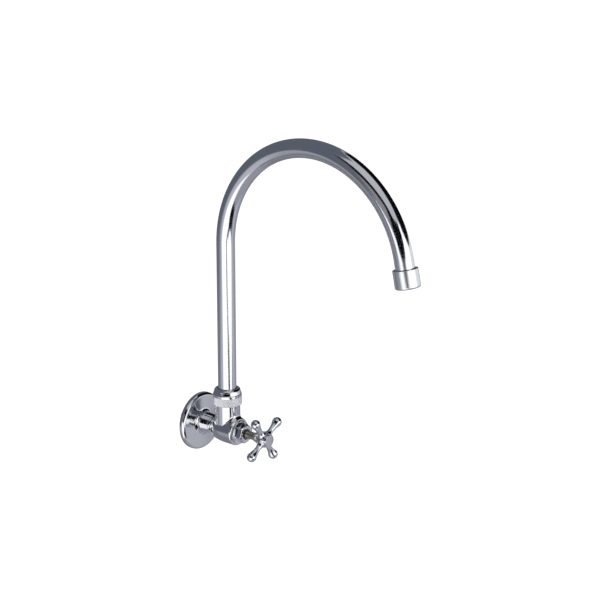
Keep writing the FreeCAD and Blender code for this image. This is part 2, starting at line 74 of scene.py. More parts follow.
def angle(name, description, degrees):
    return FloatProperty(name=name, description=description, default=math.radians(degrees),
                         unit="ROTATION", subtype="ANGLE")


def count(name, description, number):
    return IntProperty(name=name, description=description, default=number, min=3)


def share(name, description, value):
    return FloatProperty(name=name, description=description, default=value, min=0.0, max=1.0,
                         subtype="FACTOR")


def colour(name, description, value):
    return FloatVectorProperty(name=name, description=description, default=value, size=3, min=0.0, max=1.0,
                               subtype="COLOR")


class TapFinish(bpy.types.PropertyGroup):
    """Colours and polish of the plated, bare and moulded surfaces."""
    chrome: colour("Chrome", "Colour of the polished plating", (0.80, 0.81, 0.84))
    polish: share("Polish", "Roughness of the polished plating", 0.02)
    satin: colour("Satin", "Colour of the index button's face", (0.62, 0.62, 0.65))
    satin_roughness: share("Satin roughness", "Roughness of the index button's face", 0.32)
    stem: colour("Bare stem", "Colour of the unplated, dull stem", (0.42, 0.39, 0.34))
    brass: colour("Brass", "Colour of the machined inner pieces", (0.72, 0.57, 0.32))
    steel: colour("Steel", "Colour of the outlet mesh and the screw", (0.62, 0.62, 0.64))
    nylon: colour("Nylon", "Colour of the swivel's bushes", (0.86, 0.85, 0.80))
    insert: colour("Insert", "Colour of the outlet's cartridge", (0.80, 0.80, 0.78))
    rubber: colour("Rubber", "Colour of the washers and rings", (0.04, 0.04, 0.04))
    fibre: colour("Fibre", "Colour of the headwork's gasket", (0.34, 0.34, 0.36))
    graphite: colour("Graphite", "Colour of the stem's packing", (0.08, 0.08, 0.08))


class TapSpout(bpy.types.PropertyGroup):
    """The bent tube."""
    radius: size("Radius", "Outside radius of the tube", 9.5)
    wall: size("Wall", "Thickness of the tube", 1.0)
    foot: size("Foot", "Height at which the tube starts, inside the swivel", 29.5)
    riser: size("Riser", "Height at which the arch begins", 199.0)
    arch: size("Arch radius", "Radius of the arch's centre line", 113.0)
    sweep: angle("Sweep", "Angle that the arch turns through", 168.0)
    run: size("Run", "Straight tube after the arch", 14.0)
    offset: size("Offset", "Distance from the wall to the riser's axis", 40.0)
    steps: count("Steps", "Cross sections along the tube", 260)
    sides: count("Sides", "Sides of a cross section", 72)


class TapFlange(bpy.types.PropertyGroup):
    """The pressed flange on the wall."""
    radius: size("Radius", "Outside radius", 30.5)
    rise: size("Rise", "Height of the face from the wall", 7.5)
    cone: size("Collar", "Further rise of the face close to the shank", 1.2)
    sheet: size("Sheet", "Thickness of the metal", 0.9)
    rim: size("Rim", "Height of the rim's straight edge", 2.2)
    lip: size("Lip", "Height of the lip's end round the shank", 3.6)
    shank: size("Shank", "Radius of the plain shank", 10.6)


class TapBody(bpy.types.PropertyGroup):
    """The inlet's thread, the only form of the casting that the frame's body leaves plain."""
    crest: size("Crest", "Crest radius of the inlet's thread", 10.4775)
    depth: size("Depth", "Depth of the thread", 1.16)
    pitch: size("Pitch", "Pitch of the thread", 1.814)
    back: size("Back", "Depth of the thread's end behind the wall", 17.1)
    front: size("Front", "Height of the thread's other end in front of the wall", 1.0)


class TapNut(bpy.types.PropertyGroup):
    """The knurled collar that holds the spout."""
    radius: size("Radius", "Radius over the knurl", 14.85)
    foot: size("Foot", "Height of the lower face", 27.6)
    knurl_top: size("Knurl top", "Height at which the knurl ends", 36.5)
    knurls: count("Knurls", "Teeth round the nut", 90)
    depth: size("Depth", "Depth of the knurl", 0.45)
    band_radius: size("Band radius", "Radius of the smooth band", 14.3)
    taper: size("Taper", "How much narrower the smooth band is at its top", 0.65)
    band_low: size("Band foot", "Height of the smooth band's foot", 39.8)
    band_high: size("Band top", "Height of the smooth band's top", 42.6)
    top: size("Top", "Height of the nut", 45.0)
    mouth: size("Mouth", "Radius of the hole round the tube", 9.8)
    chamber: size("Chamber", "Radius of the chamber for the collar", 12.75)
    shoulder: size("Shoulder", "Height of the inner shoulder", 42.2)
    screw: size("Screw", "Radius of the screwed bore", 13.27)
    step: size("Step", "Height at which the screwed bore ends", 37.9)


class TapHeadwork(bpy.types.PropertyGroup):
    """The hexagonal headwork on the boss."""
    flange_radius: size("Flange radius", "Radius of the round flange", 12.4)
    seat: size("Seat", "Height of the flange's back face", 56.9)
    flange: size("Flange", "Thickness of the flange", 1.5)
    flats: size("Across flats", "Width of the hexagon across its flats", 18.0)
    turn: angle("Turn", "Turn of the hexagon's first corner", 16.5)
    face: size("Face", "Height of the hexagon's face", 66.0)
    mouth: size("Mouth", "Radius of the packing's chamber", 5.6)
    floor: size("Floor", "Height of the chamber's floor", 57.0)


class TapHandle(bpy.types.PropertyGroup):
    """The index button; the cross handle's own form is the frame's."""
    button: size("Button", "Radius of the index button", 6.4)
    button_face: size("Button face", "Height of the button's face", 97.5)
    hub_front: size("Hub front", "Height of the hub's face", 96.0)


class TapOutlet(bpy.types.PropertyGroup):
    """The aerator, with heights along the flow from the arch's end."""
    radius: size("Radius", "Outside radius of the housing", 12.45)
    top: size("Top", "Height of the housing's top", 8.8)
    end: size("End", "Height of the housing's lower end", 27.3)
    blend: size("Rounding", "Rounding of the lower edge", 2.0)
    thread: size("Thread", "Radius of the screwed bore", 10.95)
    ledge: size("Ledge", "Height of the inner ledge", 22.0)
    lip_radius: size("Lip radius", "Radius of the mouth", 9.3)
    lip: size("Lip", "Height of the lip's inner face", 26.4)
    wire: size("Wire", "Thickness of the mesh's wires", 0.32)
    wire_pitch: size("Wire pitch", "Distance between the mesh's wires", 0.9)


class TapStudio(bpy.types.PropertyGroup):
    """Camera, floor, light and the cards that the plating reflects."""
    focal: FloatProperty(name="Focal length", description="Focal length of the lens", default=119.08,
                         unit="CAMERA")
    floor: FloatProperty(name="Floor", description="Height of the floor", default=-1.1,
                         unit="LENGTH", subtype="DISTANCE")
    fill: FloatProperty(name="Fill", description="Strength of the even light from all round", default=0.55)


# ---------------------------------------------------------------- shader maths

class Shade:
    """One shader tree, with a method for any node and expressions for its maths."""

    def __init__(self, name):
        self.material = bpy.data.materials.new(name)
        self.material.use_nodes = True
        self.tree = self.material.node_tree
        self.tree.nodes.clear()

    def node(self, kind, settings=None, values=None, output=0):
        return add_node(self.tree, kind, settings, values, output)

    def place(self, scale=1.0):
        """Object coordinates times a scale."""
        coordinates = self.node("ShaderNodeTexCoord", output="Object")
        return self.node("ShaderNodeMapping", None, {"Vector": coordinates, "Scale": (scale,) * 3})

    def noise(self, scale, detail=3.0):
        """Noise with its features about 1/scale metres wide."""
        values = {"Vector": self.place(scale), "Scale": 1.0, "Detail": detail}
        return self.node("ShaderNodeTexNoise", None, values)

    def mix(self, factor, first, second):
        node = self.node("ShaderNodeMix", {"data_type": "RGBA"}).node
        for key, value in {"Factor": factor, "A": first, "B": second}.items():
            connect(self.tree, value, [s for s in node.inputs if s.name == key and s.enabled][0])
        return Value(self.tree, [s for s in node.outputs if s.enabled][0])

    def stained(self, scale, low, high, tint, fade):
        """A stain from 0 to 1, and a colour that it fades."""
        stain = self.noise(scale).spread(low, high)
        return stain, self.mix(stain, tuple(tint), tuple(c * fade for c in tint))

    def bump(self, height, distance, strength=1.0, normal=None):
        values = {"Height": height, "Distance": distance, "Strength": strength}
        if normal is not None:
            values["Normal"] = normal
        return self.node("ShaderNodeBump", None, values)

    def principled(self, **values):
        named = {key.replace("_", " "): value for key, value in values.items()}
        return self.surface(self.node("ShaderNodeBsdfPrincipled", None, named))

    def surface(self, shader):
        self.node("ShaderNodeOutputMaterial", None, {"Surface": shader})
        return self.material


class Value:
    """A socket that takes part in expressions."""

    def __init__(self, tree, socket):
        self.tree = tree
        self.socket = socket
        self.node = socket.node

    def math(self, operation, *others, clamp=False):
        values = dict(enumerate((self,) + others))
        return add_node(self.tree, "ShaderNodeMath", {"operation": operation, "use_clamp": clamp}, values)

    def __add__(self, other):
        return self.math("ADD", other)

    def __radd__(self, other):
        return self.math("ADD", other)

    def __sub__(self, other):
        return self.math("SUBTRACT", other)

    def __rsub__(self, other):
        return add_node(self.tree, "ShaderNodeMath", {"operation": "SUBTRACT"}, {0: other, 1: self})

    def __mul__(self, other):
        return self.math("MULTIPLY", other)

    def __rmul__(self, other):
        return self.math("MULTIPLY", other)

    def __truediv__(self, other):
        return self.math("DIVIDE", other)

    def clamp(self):
        return self.math("ADD", 0.0, clamp=True)

    def spread(self, low, high):
        """0 below low, 1 above high and even between them."""
        return ((self - low) / (high - low)).clamp()


def connect(tree, value, socket):
    if isinstance(value, Value):
        tree.links.new(value.socket, socket)
    elif socket.type == "RGBA" and len(value) == 3:
        socket.default_value = (*value, 1.0)
    else:
        socket.default_value = value


def add_node(tree, kind, settings=None, values=None, output=0):
    node = tree.nodes.new(kind)
    for key, value in (settings or {}).items():
        setattr(node, key, value)
    for key, value in (values or {}).items():
        connect(tree, value, node.inputs[key])
    sockets = node.outputs
    socket = sockets[output] if len(sockets) else node.inputs[0]
    return Value(tree, socket)


# ---------------------------------------------------------------- finishes

def plated(name, finish, ripple, ripple_scale):
    """Polished chrome: faint haze in its roughness, polishing marks, and the casting's slight ripple."""
    shade = Shade(name)
    haze, tint = shade.stained(260.0, 0.35, 0.75, finish.chrome, 0.95)
    normal = shade.bump(shade.noise(900.0, detail=2.0), 0.003 * MM, 0.5)
    if ripple:
        normal = shade.bump(shade.noise(ripple_scale, detail=1.0), ripple, 1.0, normal)
    roughness = finish.polish + 0.025 * haze
    return shade.principled(Base_Color=tint, Metallic=1.0, Roughness=roughness, Normal=normal)


def bare_stem(name, finish):
    """Unplated spindle, turned and dulled to a brown-grey."""
    shade = Shade(name)
    stain, tint = shade.stained(420.0, 0.35, 0.7, finish.stem, 0.7)
    turned = shade.node("ShaderNodeTexWave", {"bands_direction": "Y"},
                        {"Vector": shade.place(), "Scale": 1400.0, "Distortion": 1.5}, "Fac")
    normal = shade.bump(turned, 0.02 * MM, 0.6)
    return shade.principled(Base_Color=tint, Metallic=0.9, Roughness=0.34 + 0.14 * stain, Normal=normal)


def grained(name, stain, tint, roughness, uneven, grain, relief, metallic):
    """Even surface with faint stains, which also change its roughness, and a fine grain."""
    shade = Shade(name)
    stain, tint = shade.stained(*stain, *tint)
    normal = shade.bump(shade.noise(grain, detail=2.0), relief, 0.5)
    return shade.principled(Base_Color=tint, Metallic=metallic, Roughness=roughness + uneven * stain,
                            Normal=normal)


def satin(name, finish):
    """Lightly blasted plating."""
    return grained(name, (300.0, 0.3, 0.7), (finish.satin, 0.9), finish.satin_roughness, 0.08,
                   5200.0, 0.03 * MM, 1.0)


def machined(name, tint, roughness):
    """Turned metal with fine tool marks."""
    return grained(name, (380.0, 0.35, 0.7), (tint, 0.82), roughness, 0.1, 3800.0, 0.02 * MM, 1.0)


def moulded(name, tint, roughness):
    """Rubber, nylon or fibre with a fine mould texture."""
    return grained(name, (350.0, 0.3, 0.75), (tint, 0.86), roughness, 0.1, 4200.0, 0.03 * MM, 0.0)


def make_finishes(finish):
    """One material for each of the record's slots, by the slot's name."""
    for name, ripple, ripple_scale in (
            ("chrome_flange", 0.010, 90.0), ("chrome_cast", 0.035, 150.0), ("chrome_hex", 0, 1),
            ("chrome_nut", 0, 1), ("chrome_tube", 0.004, 60.0), ("chrome_aerator", 0, 1),
            ("chrome_handle", 0.02, 160.0)):
        plated(name, finish, ripple * MM, ripple_scale)
    satin("satin_button", finish)
    bare_stem("stem_brass", finish)
    for name, tint, roughness in (
            ("brass", finish.brass, 0.22), ("mesh_steel", finish.steel, 0.24),
            ("zinc_screw", finish.steel, 0.3)):
        machined(name, tint, roughness)
    for name, roughness in (
            ("fibre", 0.75), ("graphite", 0.6), ("nylon", 0.42), ("rubber", 0.55), ("insert", 0.45)):
        moulded(name, getattr(finish, name), roughness)


# ---------------------------------------------------------------- mesh helpers

def valve_axis():
    """Local +Z runs straight out from the wall."""
    return Matrix.Rotation(math.pi / 2, 4, "X")


def riser_axis(spout):
    return Matrix.Translation((0, -spout.offset, 0))


def outlet_axis(spout):
    """Local +Z leaves the arch's end along the flow."""
    across = -spout.offset - spout.arch * (1 - math.cos(spout.sweep))
    height = spout.riser + spout.arch * math.sin(spout.sweep)
    return Matrix.Translation((0, across, height)) @ Matrix.Rotation(spout.sweep, 4, "X")


def arc_through(start, middle, end, step):
    """Points and directions along the arc from start through middle to end."""
    first, second = middle - start, end - start
    cross = 2 * (first.x * second.y - first.y * second.x)
    across = Vector((second.y * first.length_squared - first.y * second.length_squared,
                     first.x * second.length_squared - second.x * first.length_squared)) / cross
    centre = start + across
    sense = 1 if cross > 0 else -1
    low, high = (math.atan2((p - centre).y, (p - centre).x) for p in (start, end))
    bend = (sense * (high - low)) % TURN
    parts = max(2, math.ceil(bend / step))
    made = []
    for k in range(parts + 1):
        turn = low + sense * bend * k / parts
        out = Vector((math.cos(turn), math.sin(turn)))
        made.append((centre + out * across.length, Vector((-out.y, out.x)) * sense))
    return made


def trace(outline, step=math.radians(7.5)):
    """Closed outline as (point, arriving normal, leaving normal).

    A step is (radius, height), (radius, height, rounding) or (through, end) for an arc."""
    ends = [Vector(item[1]) if isinstance(item[0], tuple) else Vector(item[:2]) for item in outline]
    total = len(ends)
    twice_area = sum(ends[k - 1].x * ends[k].y - ends[k].x * ends[k - 1].y for k in range(total))
    outward = 1 if twice_area > 0 else -1
    runs = []
    for k in range(total):
        item = outline[k]
        here, there = ends[k - 1], ends[k]
        if isinstance(item[0], tuple):
            runs.append(arc_through(here, Vector(item[0]), there, step))
        else:
            ahead = (there - here).normalized()
            runs.append([(here, ahead), (there, ahead)])
    corners = {}
    for k in range(total):
        blend = outline[k][2] if len(outline[k]) == 3 else 0
        if blend > 0:
            before, after = runs[k][-1][1], runs[(k + 1) % total][0][1]
            bend = math.atan2(before.x * after.y - before.y * after.x, before.dot(after))
            setback = blend * math.tan(abs(bend) / 2)
            start, end = ends[k] - before * setback, ends[k] + after * setback
            inward = (after - before).normalized()
            middle = ends[k] + inward * blend * (1 / math.cos(bend / 2) - 1)
            corners[k] = arc_through(start, middle, end, step)
            runs[k][-1] = (start, before)
            runs[(k + 1) % total][0] = (end, after)
    samples = []
    for k in range(total):
        samples.append(runs[k])
        if k in corners:
            samples.append(corners[k])
    made = []
    for k, run in enumerate(samples):
        previous = samples[k - 1]
        for j, (point, ahead) in enumerate(run[:-1]):
            arrive = previous[-1][1] if j == 0 else ahead
            normals = [Vector((way.y, -way.x)) * outward for way in (arrive, ahead)]
            made.append((point, *normals))
    return made


def linked(name, data):
    """New object in the scene."""
    made = bpy.data.objects.new(name, data)
    bpy.context.scene.collection.objects.link(made)
    return made


def new_piece(name, mesh, material):
    mesh.materials.clear()
    mesh.materials.append(material)
    return linked(name, mesh)


def evaluated(holder):
    """Plain mesh of an object with its modifiers; the object itself goes."""
    graph = bpy.context.evaluated_depsgraph_get()
    made = bpy.data.meshes.new_from_object(holder.evaluated_get(graph), depsgraph=graph)
    bpy.data.objects.remove(holder)
    return made


def closed_mesh(name, grid, sharp):
    """Smooth mesh of a closed grid, with edges that bend by more than an angle left sharp."""
    bmesh.ops.recalc_face_normals(grid, faces=grid.faces)
    mesh = bpy.data.meshes.new(name)
    grid.to_mesh(mesh)
    grid.free()
    mesh.shade_smooth()
    mesh.set_sharp_from_angle(angle=sharp)
    return mesh


def lathe(name, outline, place, sides):
    """Closed ring-shaped mesh turned from an outline that stays off the axis, with exact normals."""
    points = trace(outline)
    total = len(points)
    vertices = []
    for side in range(sides):
        turn = TURN * side / sides
        for point, _, _ in points:
            vertices.append(place @ Vector((point.x * math.cos(turn), point.x * math.sin(turn), point.y)))
    faces, normals = [], []
    spin = place.to_3x3()
    for side in range(sides):
        nxt = (side + 1) % sides
        for k in range(total):
            up = (k + 1) % total
            faces.append((side * total + k, nxt * total + k, nxt * total + up, side * total + up))
            leave, arrive = points[k][2], points[up][1]
            for where, flat in ((side, leave), (side + 1, leave), (side + 1, arrive), (side, arrive)):
                turn = TURN * where / sides
                normals.append(spin @ Vector((flat.x * math.cos(turn), flat.x * math.sin(turn), flat.y)))
    mesh = bpy.data.meshes.new(name)
    mesh.from_pydata(vertices, [], faces)
    if mesh.polygons[0].normal.dot(normals[0]) < 0:
        mesh.flip_normals()
        loops = []
        for face in mesh.polygons:
            first = face.loop_start
            loops.append([normals[first], normals[first + 3], normals[first + 2], normals[first + 1]])
        normals = [n for group in loops for n in group]
    mesh.shade_smooth()
    mesh.normals_split_custom_set([tuple(n) for n in normals])
    return mesh


def disc_lathe(name, outline, place, sides):
    """Closed solid of revolution whose outline starts and ends on the axis."""
    grid = bmesh.new()
    rings = []
    for radius, height in outline:
        if radius < 1e-7:
            rings.append([grid.verts.new(place @ Vector((0, 0, height)))])
        else:
            turns = [TURN * s / sides for s in range(sides)]
            ring = [Vector((radius * math.cos(turn), radius * math.sin(turn), height)) for turn in turns]
            rings.append([grid.verts.new(place @ spot) for spot in ring])
    for low, high in zip(rings, rings[1:]):
        for s in range(sides):
            t = (s + 1) % sides
            corners = [low[s % len(low)], low[t % len(low)], high[t % len(high)], high[s % len(high)]]
            grid.faces.new(list(dict.fromkeys(corners)))
    return closed_mesh(name, grid, SHARP)


def node_copy(node):
    """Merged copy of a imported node's mesh that keeps its smooth normals."""
    mesh = frame["nodes"][node].data.copy()
    mesh.name = node + "_skin"
    kept = mesh.attributes.new("kept_normal", "FLOAT_VECTOR", "CORNER")
    for loop, item in zip(mesh.corner_normals, kept.data):
        item.vector = loop.vector
    grid = bmesh.new()
    grid.from_mesh(mesh)
    bmesh.ops.remove_doubles(grid, verts=grid.verts, dist=0.002 * MM)
    grid.to_mesh(mesh)
    grid.free()
    return mesh


def restore_normals(mesh):
    kept = [tuple(item.vector) for item in mesh.attributes["kept_normal"].data]
    mesh.attributes.remove(mesh.attributes["kept_normal"])
    mesh.shade_smooth()
    mesh.normals_split_custom_set(kept)


def finish_of(node):
    return bpy.data.materials[SLOT_OF[node]]


def settle(name, mesh, body, node):
    """New piece that rides on its body, stands for its node and has the node's slot and finish."""
    piece = new_piece(name, mesh, finish_of(node))
    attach(piece, body)
    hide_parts(node)


# ---------------------------------------------------------------- geometry nodes

class Geometry:
    """A Geometry Nodes tree with named inputs."""

    def __init__(self, name):
        self.tree = bpy.data.node_groups.new(name, "GeometryNodeTree")
        self.tree.interface.new_socket("Geometry", in_out="INPUT", socket_type="NodeSocketGeometry")
        self.tree.interface.new_socket("Geometry", in_out="OUTPUT", socket_type="NodeSocketGeometry")
        self.group_in = self.tree.nodes.new("NodeGroupInput")
        self.group_out = self.tree.nodes.new("NodeGroupOutput")
        self.identifiers = {}

    def entry(self, name, kind):
        socket = self.tree.interface.new_socket(name, in_out="INPUT", socket_type="NodeSocket" + kind)
        self.identifiers[name] = socket.identifier
        return Value(self.tree, self.group_in.outputs[name])

    def entries(self, *names):
        return [self.entry(name, "Float") for name in names]

    def node(self, kind, values=None, settings=None, output=0):
        return add_node(self.tree, "GeometryNode" + kind, settings, values, output)

    def xyz(self, **parts):
        return add_node(self.tree, "ShaderNodeCombineXYZ", None, parts)

    def along(self):
        """How far along its curve a point is, from 0 to 1."""
        return self.node("SplineParameter", output="Factor")

    def ends_down(self, least, share_of_length):
        """1 along a curve and least at its ends, which slope over a share of its length."""
        factor = self.along()
        slope = (factor / share_of_length).math("MINIMUM", (1.0 - factor) / share_of_length)
        return least + (1.0 - least) * slope.math("MINIMUM", 1.0)

    def sweep(self, path, radius, sides, **caps):
        """Skin round a path, with a round section."""
        ring = self.node("CurvePrimitiveCircle", {"Resolution": sides, "Radius": radius})
        return self.node("CurveToMesh", {"Curve": path, "Profile Curve": ring, **caps})

    def given(self):
        """The mesh that comes in."""
        return Value(self.tree, self.group_in.outputs["Geometry"])

    def close(self, *parts):
        """Joins the parts and ends the tree in Realize Instances and Set Material."""
        joined = self.node("JoinGeometry")
        for part in parts:
            self.tree.links.new(part.socket, joined.node.inputs["Geometry"])
        real = self.node("RealizeInstances", {"Geometry": joined})
        painted = self.node("SetMaterial", {"Geometry": real, "Material": self.entry("Material", "Material")})
        self.tree.links.new(painted.socket, self.group_out.inputs["Geometry"])

    def bake(self, name, values, mesh=None):
        """Runs the tree on a mesh and returns the result as a plain mesh."""
        holder = linked(name + "_source", mesh or bpy.data.meshes.new(name + "_source"))
        modifier = holder.modifiers.new("shape", "NODES")
        modifier.node_group = self.tree
        for key, value in values.items():
            modifier[self.identifiers[key]] = value
        made = evaluated(holder)
        made.name = name
        return made


def tube_tree():
    """Straight riser, arch and outlet run as one curve given by the distance along it."""
    tree = Geometry("bent_tube")
    radius, foot, riser, arch, sweep, run, offset = tree.entries(
        "Radius", "Foot", "Riser", "Arch", "Sweep", "Run", "Offset")
    steps = tree.entry("Steps", "Int")
    sides = tree.entry("Sides", "Int")
    straight = riser - foot
    bent = arch * sweep
    along = tree.along() * (straight + bent + run)
    turn = (along - straight).math("MAXIMUM", 0.0).math("MINIMUM", bent) / arch
    after = (along - straight - bent).math("MAXIMUM", 0.0)
    across = 0.0 - offset - arch * (1.0 - turn.math("COSINE")) - after * turn.math("SINE")
    height = foot + along.math("MINIMUM", straight) + arch * turn.math("SINE") + after * turn.math("COSINE")
    points = tree.node("ResampleCurve", {"Curve": tree.node("CurvePrimitiveLine"), "Count": steps})
    path = tree.node("SetPosition", {"Geometry": points, "Position": tree.xyz(Y=across, Z=height)})
    tree.close(tree.sweep(path, radius, sides))
    return tree


def knurl_tree():
    """Ridges of a straight knurl round the mesh that comes in, with their ends drawn down."""
    tree = Geometry("knurl")
    number = tree.entry("Teeth", "Int")
    radius, low, high, offset = tree.entries("Radius", "Low", "High", "Offset")
    half = radius * math.pi / number
    line = tree.node("CurvePrimitiveLine", {"Start": tree.xyz(Z=low), "End": tree.xyz(Z=high)})
    points = tree.node("ResampleCurve", {"Curve": line, "Count": 6})
    narrowed = tree.ends_down(least=0.35, share_of_length=0.12)
    path = tree.node("SetCurveRadius", {"Curve": points, "Radius": narrowed})
    overlap = 1.04
    ridge = tree.sweep(path, half * overlap, sides=8, **{"Fill Caps": True})
    circle = tree.node("MeshCircle", {"Vertices": number, "Radius": radius - half})
    ridges = tree.node("InstanceOnPoints", {
        "Points": tree.node("MeshToPoints", {"Mesh": circle}), "Instance": ridge,
        "Rotation": tree.xyz(Z=tree.node("InputIndex") * TURN / number)})
    placed = tree.node("Transform", {"Geometry": ridges, "Translation": tree.xyz(Y=0.0 - offset)})
    tree.close(tree.given(), placed)
    return tree


def thread_tree():
    """Helical ridge of a screw thread, added to the mesh that comes in."""
    tree = Geometry("thread")
    root, pitch, length, depth, front = tree.entries("Root", "Pitch", "Length", "Depth", "Front")
    helix = tree.node("CurveSpiral", {
        "Resolution": 56, "Rotations": length / pitch, "Start Radius": root, "End Radius": root,
        "Height": length})
    narrowed = tree.ends_down(least=0.2, share_of_length=0.05)
    path = tree.node("SetCurveRadius", {"Curve": helix, "Radius": narrowed})
    ridge = tree.sweep(path, depth, sides=6, **{"Fill Caps": True})
    turned = tree.node("Transform", {
        "Geometry": ridge, "Rotation": (-math.pi / 2, 0, 0), "Translation": tree.xyz(Y=0.0 - front)})
    tree.close(tree.given(), turned)
    return tree


def mesh_tree():
    """Two crossed rows of wires, each as long as the round mouth is wide there."""
    tree = Geometry("outlet_mesh")
    mouth, pitch, wire = tree.entries("Mouth", "Pitch", "Wire")
    number = tree.entry("Wires", "Int")
    half = pitch * (number - 1.0) / 2.0
    row = tree.node("MeshLine", {
        "Count": number, "Start Location": tree.xyz(X=0.0 - half), "Offset": tree.xyz(X=half)},
        {"mode": "END_POINTS"})
    out = tree.node("InputIndex") * pitch - half
    chord = (mouth * mouth - out * out).math("MAXIMUM", 0.0).math("SQRT")
    rod = tree.node("MeshCylinder", {"Vertices": 6, "Radius": wire / 2.0, "Depth": 2.0})
    wires = tree.node("InstanceOnPoints", {
        "Points": tree.node("MeshToPoints", {"Mesh": row}), "Instance": rod,
        "Rotation": (math.pi / 2, 0, 0), "Scale": tree.xyz(X=1.0, Y=1.0, Z=chord)})
    weave = wire * 0.7
    crossed = tree.node("Transform", {
        "Geometry": wires, "Rotation": (0, 0, math.pi / 2), "Translation": tree.xyz(Z=weave)})
    tree.close(wires, crossed)
    return tree


# ---------------------------------------------------------------- pieces

def flange_outline(flange):
    """Rounded rim, slightly coned face and a collar that turns in to the lip, with the same back."""
    rise, sheet = flange.rise, flange.sheet
    lip = flange.shank + 0.02 * MM
    face = flange.radius - 3.6 * MM
    face_edge = rise - 1.5 * MM
    collar = lip + 5.4 * MM
    crown = rise + flange.cone
    curl = lip + 2.6 * MM
    rim_middle = (flange.radius - 0.95 * MM, rise - 2.55 * MM)
    curl_middle = (lip + 0.75 * MM, rise - 0.65 * MM)
    hub_middle = (lip + 0.35 * MM, crown - 0.2 * MM)
    return [
        (flange.radius, 0, 0.15 * MM),
        (flange.radius, flange.rim),
        (rim_middle, (face, face_edge)),
        (collar, rise - 0.55 * MM),
        ((lip + 3.0 * MM, rise), (lip + 1.1 * MM, crown)),
        (hub_middle, (lip, crown - 1.2 * MM)),
        (lip, flange.lip, 0.2 * MM),
        (lip + sheet, flange.lip, 0.2 * MM),
        (lip + sheet, rise - 2.4 * MM),
        (curl_middle[0] + 0.6 * sheet, curl_middle[1] - 0.8 * sheet),
        (curl + 0.1 * MM, rise - sheet),
        (face - 0.2 * MM, face_edge - sheet),
        (rim_middle[0] - 0.75 * sheet, rim_middle[1] - 0.65 * sheet),
        (flange.radius - sheet, flange.rim),
        (flange.radius - sheet, 0, 0.15 * MM),
    ]


def nut_outline(nut):
    """Core under the knurl, a collar, the narrowing smooth band, its dome and the bores inside."""
    core = nut.radius - nut.depth * 0.95
    band_top = nut.band_radius - nut.taper
    return [
        (nut.screw, nut.foot, 0.3 * MM),
        (core - 0.3 * MM, nut.foot, 0.3 * MM),
        (core, nut.foot + 0.5 * MM, 0.2 * MM),
        (core, nut.knurl_top),
        (nut.radius, nut.knurl_top + 0.1 * MM, 0.12 * MM),
        (nut.radius, nut.band_low - 0.6 * MM, 0.25 * MM),
        (nut.band_radius + 0.1 * MM, nut.band_low, 0.25 * MM),
        (band_top, nut.band_high),
        ((band_top - 0.8 * MM, nut.top - 0.75 * MM), (nut.mouth + 0.4 * MM, nut.top)),
        (nut.mouth, nut.top - 0.3 * MM),
        (nut.mouth, nut.shoulder),
        (nut.chamber, nut.shoulder),
        (nut.chamber, nut.step),
        (nut.screw, nut.step),
    ]


def housing_outline(outlet):
    """Plain collar with a rounded lower edge, its screwed bore, ledge and lip."""
    cartridge = outlet.thread - 0.75 * MM
    return [
        (outlet.thread, outlet.top, 0.2 * MM),
        (outlet.radius, outlet.top, 0.4 * MM),
        (outlet.radius, outlet.end, outlet.blend),
        (outlet.lip_radius, outlet.end, 0.25 * MM),
        (outlet.lip_radius, outlet.lip),
        (cartridge, outlet.lip),
        (cartridge, outlet.ledge),
        (outlet.thread, outlet.ledge),
    ]


def dome_points(radius, edge, rise, steps):
    """Open outline over a gently domed face, from its rim to the axis, as (radius, height)."""
    ball = (radius ** 2 + rise ** 2) / (2 * rise)
    made = []
    for k in range(steps + 1):
        out = radius * (1 - k / steps)
        made.append((out, edge + math.sqrt(ball ** 2 - out ** 2) - (ball - rise)))
    return made


def button_points(handle):
    """The index button as an outline from the axis behind it to the axis in front."""
    ring = handle.button - 1.25 * MM
    ring_inside = ring - 0.8 * MM
    back = handle.hub_front
    ring_foot = back - 0.9 * MM
    edge = 0.5 * MM
    rise = 0.25 * MM
    front = handle.button_face - rise
    points = [(0, back), (ring_inside, back), (ring_inside, ring_foot), (ring, ring_foot), (ring, back)]
    points += [(handle.button - 0.1 * MM, back), (handle.button, back + 0.1 * MM)]
    parts = 6
    for k in range(parts + 1):
        turn = math.pi / 2 * k / parts
        points.append((handle.button - edge + edge * math.cos(turn), front - edge + edge * math.sin(turn)))
    return points + dome_points(handle.button - edge, front, rise, steps=14)[1:]


def soft_least(first, second, blend):
    """The lesser of two lengths, rounded over where they meet."""
    mix = max(blend - abs(first - second), 0.0) / blend
    return min(first, second) - mix * mix * blend / 4


